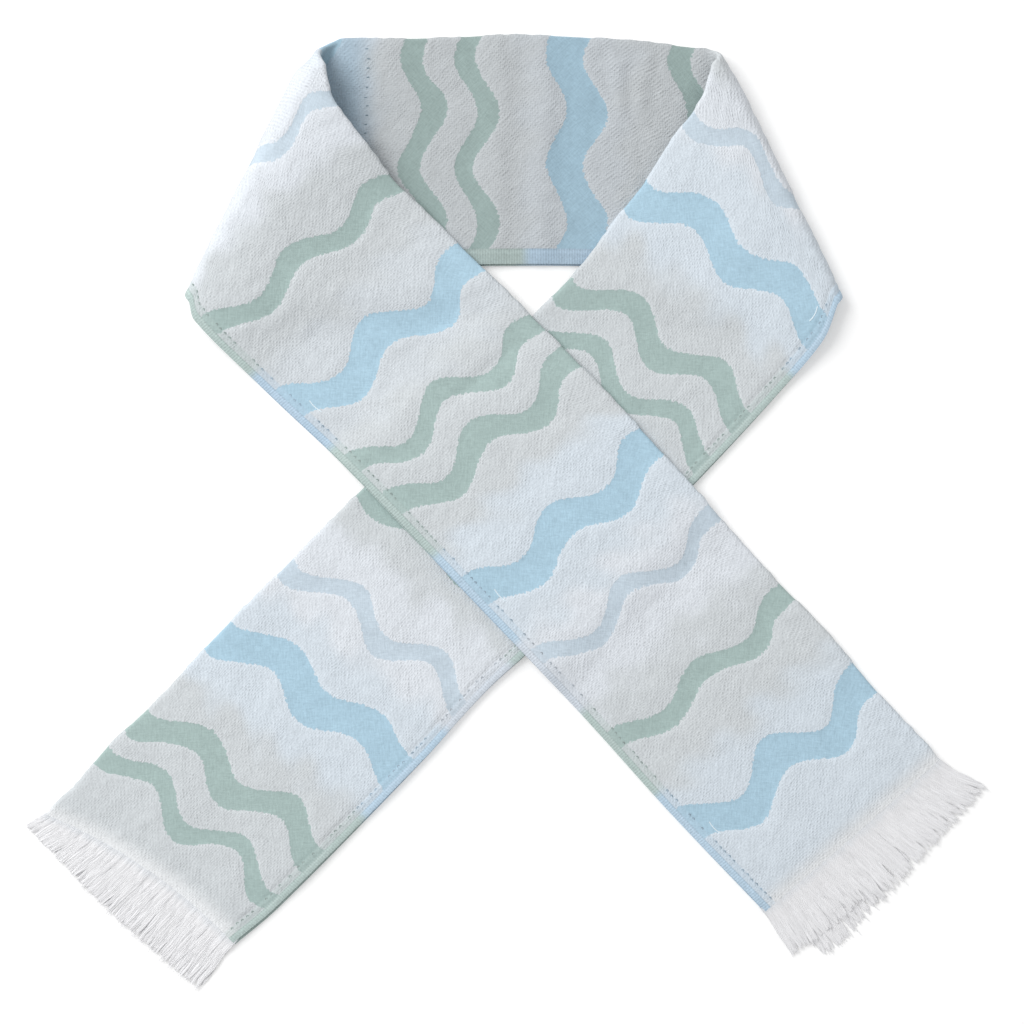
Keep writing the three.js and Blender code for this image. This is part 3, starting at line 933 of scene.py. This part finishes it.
def make_cloth():
    """The cloth as one closed skin round both layers, with its pattern as attributes."""
    t, stretch, surface = make_strip()
    length = lengths_of(surface, stretch)
    flat = np.stack([length, np.broadcast_to(t * WIDTH, length.shape)], -1)
    slacken(stretch, surface, flat)

    outer = wrap(surface, thinned(length, HALF, END_HALF), BEND_STEPS)
    inner_gap = np.full(length[::COARSE, ::COARSE].shape + (1,), LAYER_GAP / 2)
    inner = wrap(surface[::COARSE, ::COARSE], inner_gap, BEND_STEPS // COARSE)
    shift_lower_hem(outer, t, length)
    shift_lower_hem(inner, t[::COARSE], length[::COARSE, ::COARSE])

    rows, columns = outer.shape[:2]
    slant_turns_at = np.flatnonzero(stretch == "over curl")[2 * CURL_STEPS // 3]
    bend = np.repeat(length[:, :1], BEND_STEPS - 1, axis=1)
    long = np.concatenate([length[:, ::-1], bend, length], axis=1) * 1000
    wide = np.broadcast_to(skin_widths(t) * 1000, long.shape)
    depth, stripe_colour = stripe_field(long, wide)
    zone_length = long + 4 * cosines(np.stack([long, wide], -1), 8, 15, 50)
    hem = (WIDTH + HALF * math.pi / 2) * 1000 - np.abs(wide)
    on_neck = 1 - smooth(np.abs(long), *NECK_FACE)
    neck_front = on_neck * (wide < 0)
    from_end = np.minimum(long - long[:1], long[-1:] - long)
    relief = cloth_relief(long, wide, depth, hem, neck_front) * smooth(from_end, 0, END_RELIEF)
    outer = outer + skin_normals(outer) * relief[..., None]
    outer[..., 2] = np.maximum(outer[..., 2], LOWEST)

    # Darker colours on the neck's face: partly its weave, partly painted shade between the folds
    shade = mix(1.0, NECK_TONE_AND_SHADE, neck_front)[..., None]
    ground = zone_colours(zone_length, GROUND_COLOURS, ZONE_BLUR)
    # Beside the left fold the ground turns bluer and darker; the darkening is painted shade
    in_corner = 0.7 * neck_front * smooth(-long, *CORNER)
    ground = mix(ground, np.array(CORNER_TINT_AND_SHADE), in_corner[..., None])
    ground = mix(np.array(END_COLOUR), ground, smooth(from_end, 0, END_TINT)[..., None])
    neck_hem = hem / NECK_HEM_BAND + np.where(hem < NECK_HEM_BAND, 0, 2)
    hem_share = mix(hem / HEM_BAND, neck_hem, neck_front)
    near_curl = np.exp(-(((np.abs(long) - CURL_CREPE[0]) / CURL_CREPE[1]) ** 2))
    crepe = np.clip(0.15 + 0.6 * near_curl + 0.45 * neck_front * smooth(long, 10, 40), 0, 1)
    slant = np.broadcast_to(np.where(np.arange(rows) < slant_turns_at, -1.0, 1.0)[:, None], long.shape)
    outer_attributes = {
        "weave": ("FLOAT_VECTOR", np.stack([long, wide, np.zeros_like(long)], -1)),
        "stripe": ("FLOAT", depth),
        "hem": ("FLOAT", hem_share),
        "slant": ("FLOAT", slant),
        "crepe": ("FLOAT", crepe),
        "stripe_colour": ("FLOAT_COLOR", opaque(stripe_colour * shade)),
        "ground": ("FLOAT_COLOR", opaque(ground * shade)),
        "hem_colour": ("FLOAT_COLOR", opaque(zone_colours(long, HEM_COLOURS, HEM_BLUR) * shade)),
    }

    pick_rows = np.arange(0, rows, COARSE)
    pick_columns = np.arange(0, columns, COARSE)
    picked = (pick_rows[:, None] * columns + pick_columns[None, :]).ravel()
    attributes = {}
    for key, (kind, values) in outer_attributes.items():
        values = np.asarray(values).reshape(rows * columns, -1)
        attributes[key] = (kind, np.concatenate([values, values[picked]]))

    outer_ids = np.arange(rows * columns).reshape(rows, columns)
    inner_ids = rows * columns + np.arange(len(picked)).reshape(len(pick_rows), len(pick_columns))
    faces = quads(rows, columns).tolist()
    faces += quads(*inner_ids.shape, first=rows * columns, flip=True).tolist()
    for outer_chain, inner_chain in [
        (outer_ids[:, 0][::-1], inner_ids[:, 0][::-1]),
        (outer_ids[:, -1], inner_ids[:, -1]),
        (outer_ids[0], inner_ids[0]),
        (outer_ids[-1][::-1], inner_ids[-1][::-1]),
    ]:
        faces += rim(outer_chain, inner_chain)
    points = np.concatenate([outer.reshape(-1, 3), inner.reshape(-1, 3)])
    piece = make_piece("cloth_skin", points, faces, attributes, cloth_material())
    return piece, t, surface, outer, long, wide


# ---- the fringe

# For each comb: the line of its tips, (out, along) in the tail's own frame, and how strongly its yarns are
# crimped near the cloth
FRINGES = {
    "over_tail_fringe_upper": {
        "tips": [
            (-0.054, 0.2195), (-0.034, 0.2225), (-0.016, 0.2235), (-0.013, 0.228), (0.020, 0.2265),
            (0.054, 0.2235),
        ],
        "crimp": 0.00007,
    },
    "over_tail_fringe_lower": {
        "tips": [
            (-0.053, 0.217), (-0.046, 0.219), (-0.043, 0.2285), (-0.018, 0.228), (0.0, 0.225), (0.052, 0.222),
        ],
        "crimp": 0.00007,
    },
    "under_tail_fringe_upper": {
        "tips": [(-0.049, 0.248), (-0.030, 0.2495), (0.0, 0.251), (0.051, 0.250)],
        "crimp": 0.00016,
    },
    "under_tail_fringe_lower": {
        "tips": [(-0.049, 0.246), (0.0, 0.2495), (0.050, 0.249)],
        "crimp": 0.00016,
    },
}
TUFTS = 80  # soft bundles of yarns on each comb
TUFT_HALF_WIDTH = 0.00115
TUFT_HALF_HEIGHT = 0.00026
TUFT_SIDES = 8
LOOSE = 5  # yarns that show on each tuft
YARN_RADIUS = 0.00019  # half a yarn's width
YARN_SIDES = 5
FRINGE_STEPS = 20
ROOT_COLOUR = from_srgb(228, 231, 235)
YARN_COLOUR = from_srgb(240, 240, 242)


def root_line(name, surface):
    """Where a comb's yarns leave the cloth: points along the cut end, on the comb's own layer."""
    row = 0 if name.startswith("over") else -1
    _, _, normal = directions(surface)
    if name.endswith("upper"):
        return surface[row] - normal[row] * (END_HALF - 0.5 * TUFT_HALF_HEIGHT)
    return surface[row] + normal[row] * (END_HALF + LAYER_GAP / 2) / 2


def tuft_paths(name, spec, t, surface):
    """Middle lines (along, out, height) of a comb's tufts in the tail's frame, and their half widths."""
    tail = TAILS[name.split("_")[0]]
    line = root_line(name, surface)
    share = (np.arange(TUFTS) + 0.5 + rng.uniform(-0.22, 0.22, TUFTS)) / TUFTS
    root = np.stack([np.interp(share, t, line[:, k]) for k in range(3)], -1)
    along_root, out_root = to_tail(tail, root[:, :2])
    along_root = along_root[:, None] - rng.uniform(0.0010, 0.0026, (TUFTS, 1))
    out_root = out_root[:, None]

    first, last = spec["tips"][-1][0], spec["tips"][0][0]
    out_tip = (mix(first, last, share) + rng.normal(0, 0.0005, TUFTS))[:, None]
    reach = look_up(spec["tips"], out_tip) - rng.exponential(0.0004, (TUFTS, 1)) - along_root
    u = np.linspace(0, 1, FRINGE_STEPS + 1)[None, :]
    phase = rng.uniform(0, 2 * math.pi, (TUFTS, 1))
    slow = rng.uniform(0.012, 0.022, (TUFTS, 1))
    gone = reach * u
    sway = 0.00028 * smooth(gone, 0.002, 0.010) * np.sin(2 * math.pi * gone / slow + phase)
    out = mix(out_root, out_tip, u**1.4) + sway
    lying = rng.uniform(0.0003, 0.0006, (TUFTS, 1)) + (0.0006 if name.endswith("upper") else 0)
    height = mix(root[:, 2:3], lying, smooth(gone, 0.0, 0.010))
    height = height + 0.00012 * smooth(gone, 0.003, 0.008) * np.sin(2 * math.pi * gone / slow * 1.3 + phase)
    half = TUFT_HALF_WIDTH * rng.uniform(0.85, 1.15, (TUFTS, 1)) * (1 - 0.40 * smooth(u, 0.5, 1.0))
    return along_root + gone, out, np.maximum(height, TUFT_HALF_HEIGHT + LOWEST), half


def fringe_colours(along):
    """Yarns take the cloth's tint where they leave it and are white a few mm further on."""
    gone = (along - along[:, :1])[..., None]
    shade = rng.uniform(0.94, 1.02, (len(along), 1, 1))
    return mix(np.array(ROOT_COLOUR), np.array(YARN_COLOUR), smooth(gone, 0.0015, 0.006)) * shade


def make_fringes(t, surface, yarn, tuft):
    """Two pieces for each comb: flat tufts, and single yarns that lie on them."""
    pieces = []
    for name, spec in FRINGES.items():
        tail = TAILS[name.split("_")[0]]
        along, out, height, half = tuft_paths(name, spec, t, surface)
        closing = 1 - 0.5 * (np.arange(FRINGE_STEPS + 1) == FRINGE_STEPS)
        thick = TUFT_HALF_HEIGHT * mix(0.6, 1.0, smooth(along - along[:, :1], 0, 0.004)) * closing
        paths = np.concatenate([from_tail(tail, along, out), height[..., None]], -1)
        colours = fringe_colours(along)
        tufts = thread_piece(
            name + "_tufts", paths, half * closing, thick, TUFT_SIDES, colours, tuft, flat=True
        )

        each = (TUFTS, LOOSE, 1)
        spot = (np.arange(LOOSE) - (LOOSE - 1) / 2) * 2 / LOOSE + rng.uniform(-0.12, 0.12, each[:2])
        spot = np.clip(spot, -0.98, 0.98)[..., None]
        extra = rng.normal(0.02, 0.045, each)
        start = along[:, None, :1] - rng.uniform(0.0004, 0.0012, each)
        yarn_along = start + (along[:, None] - along[:, None, :1]) * (1 + extra)
        gone = yarn_along - start
        wave = rng.uniform(0.0019, 0.0027, each)
        phase = rng.uniform(0, 2 * math.pi, each)
        crimp = spec["crimp"] * smooth(gone, 0.0005, 0.002) * mix(1.0, 0.35, smooth(gone, 0.004, 0.009))
        stray = rng.normal(0, 0.00022, each) * smooth(gone, 0.006, 0.020)
        wiggle = crimp * np.sin(2 * math.pi * gone / wave + phase)
        yarn_out = out[:, None] + spot * half[:, None] + stray + wiggle
        on_top = height[:, None] + thick[:, None] * np.sqrt(1 - 0.9 * spot**2)
        paths = np.concatenate([from_tail(tail, yarn_along, yarn_out), on_top[..., None]], -1)
        paths = paths.reshape(TUFTS * LOOSE, -1, 3)
        u = np.linspace(0, 1, FRINGE_STEPS + 1)[None, :]
        radii = YARN_RADIUS * smooth(u, -0.04, 0.12) * (1 - 0.4 * smooth(u, 0.8, 1.0))
        radii = radii * rng.uniform(0.8, 1.15, (TUFTS * LOOSE, 1))
        colours = fringe_colours(yarn_along.reshape(TUFTS * LOOSE, -1))
        yarns = thread_piece(name + "_yarns", paths, radii, 0.8 * radii, YARN_SIDES, colours, yarn)
        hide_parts(name)
        for piece in (tufts, yarns):
            pieces.append(piece)
    return pieces


# ---- hem stitches and loose threads

def on_skin(outer, long, wide, length, width, above):
    """Points a little above the outer skin at given length and width coordinates (mm)."""
    columns = np.interp(width, wide[0], np.arange(wide.shape[1]))
    column = np.clip(columns.astype(int), 0, wide.shape[1] - 2)
    part = (columns - column)[..., None]
    normals = skin_normals(outer)
    found = np.zeros(np.shape(length) + (3,))
    for k in np.unique(column):
        chosen = column == k
        rows = np.interp(length[chosen], long[:, k], np.arange(len(long)))
        row = np.clip(rows.astype(int), 0, len(long) - 2)
        gone = (rows - row)[:, None]
        lifted = outer[:, k:k + 2] + normals[:, k:k + 2] * above
        near = mix(lifted[row, 0], lifted[row + 1, 0], gone)
        far = mix(lifted[row, 1], lifted[row + 1, 1], gone)
        found[chosen] = mix(near, far, part[chosen])
    return found


STITCH = 2.7  # mm
STITCH_STRETCHES = ((-496, -140), (138, 510))  # the lengths between which the tails' hems are sewn, mm
STITCH_INSET = 5.3  # from the hem's edge, mm
STITCH_SHARE = 0.7  # of the stitches can be seen
THREAD_RADIUS = 0.00024
THREAD_SIDES = 5
ABOVE_SKIN = 0.00001
NEEDLE_ROW = -64.6  # the length at which a row of needle marks crosses the neck, mm
NEEDLE_PITCH = 3.9  # mm
FLOATS = [-458, -325, -214, 150]  # lengths at which a light thread lies loose beside the hem, mm
MARK_COLOUR = from_srgb(118, 138, 150)
FLOAT_COLOUR = from_srgb(222, 236, 244)


def make_threads(outer, long, wide, material):
    """Hem stitches on both tails and both faces, the needle marks on the neck and the loose threads."""
    edge = wide[0, -1]
    line = np.linspace(0, 1, 6)
    paths, colours = [], []
    for low, high in STITCH_STRETCHES:
        for start in np.arange(low, high, STITCH):
            for side in (-1, 1):
                slip = rng.uniform(-0.25, 0.25, 2)
                length = start + slip[0] + line
                inset = STITCH_INSET + slip[1] + 0.5 * np.sin(math.pi * line)
                if rng.random() < STITCH_SHARE:
                    paths.append(np.stack([length, side * (edge - inset)], -1))
                    tint = zone_colours(np.array(start), HEM_COLOURS, HEM_BLUR)
                    # The stitches are darker than the hem: painted shade of stitches sunk in the hem
                    colours.append(tint * rng.uniform(0.62, 0.85))
    for across in np.arange(5.0, 94.0, NEEDLE_PITCH):
        slip = rng.uniform(-0.3, 0.3, 2)
        width = -(across + slip[0]) * np.ones(6)
        paths.append(np.stack([NEEDLE_ROW + slip[1] - across * 0.04 + 1.1 * line, width], -1))
        colours.append(MARK_COLOUR)
    for start in FLOATS:
        length = start + 7.0 * (line - 0.5)
        paths.append(np.stack([length, edge - 9.5 + 0.5 * np.sin(3 * line)], -1))
        colours.append(FLOAT_COLOUR)
    paths = np.array(paths)
    laid = on_skin(outer, long, wide, paths[..., 0], paths[..., 1], ABOVE_SKIN)
    radii = np.full(laid.shape[:2], THREAD_RADIUS)
    colours = np.broadcast_to(np.array(colours)[:, None], laid.shape)
    return thread_piece("hem_threads", laid, radii, 0.7 * radii, THREAD_SIDES, colours, material)


# ---- the whole towel

make_camera()
make_lamp("key", towards=(143, 42), distance=2.0, size=1.3, power=29)
make_world()
make_floor()
bpy.context.scene.view_settings.view_transform = "Standard"

start_edges_at_curls()
cloth, t, surface, outer, long, wide = make_cloth()
yarn = yarn_material()
fringes = make_fringes(t, surface, yarn, tuft_material())
threads = make_threads(outer, long, wide, yarn)
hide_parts("towel_cloth")
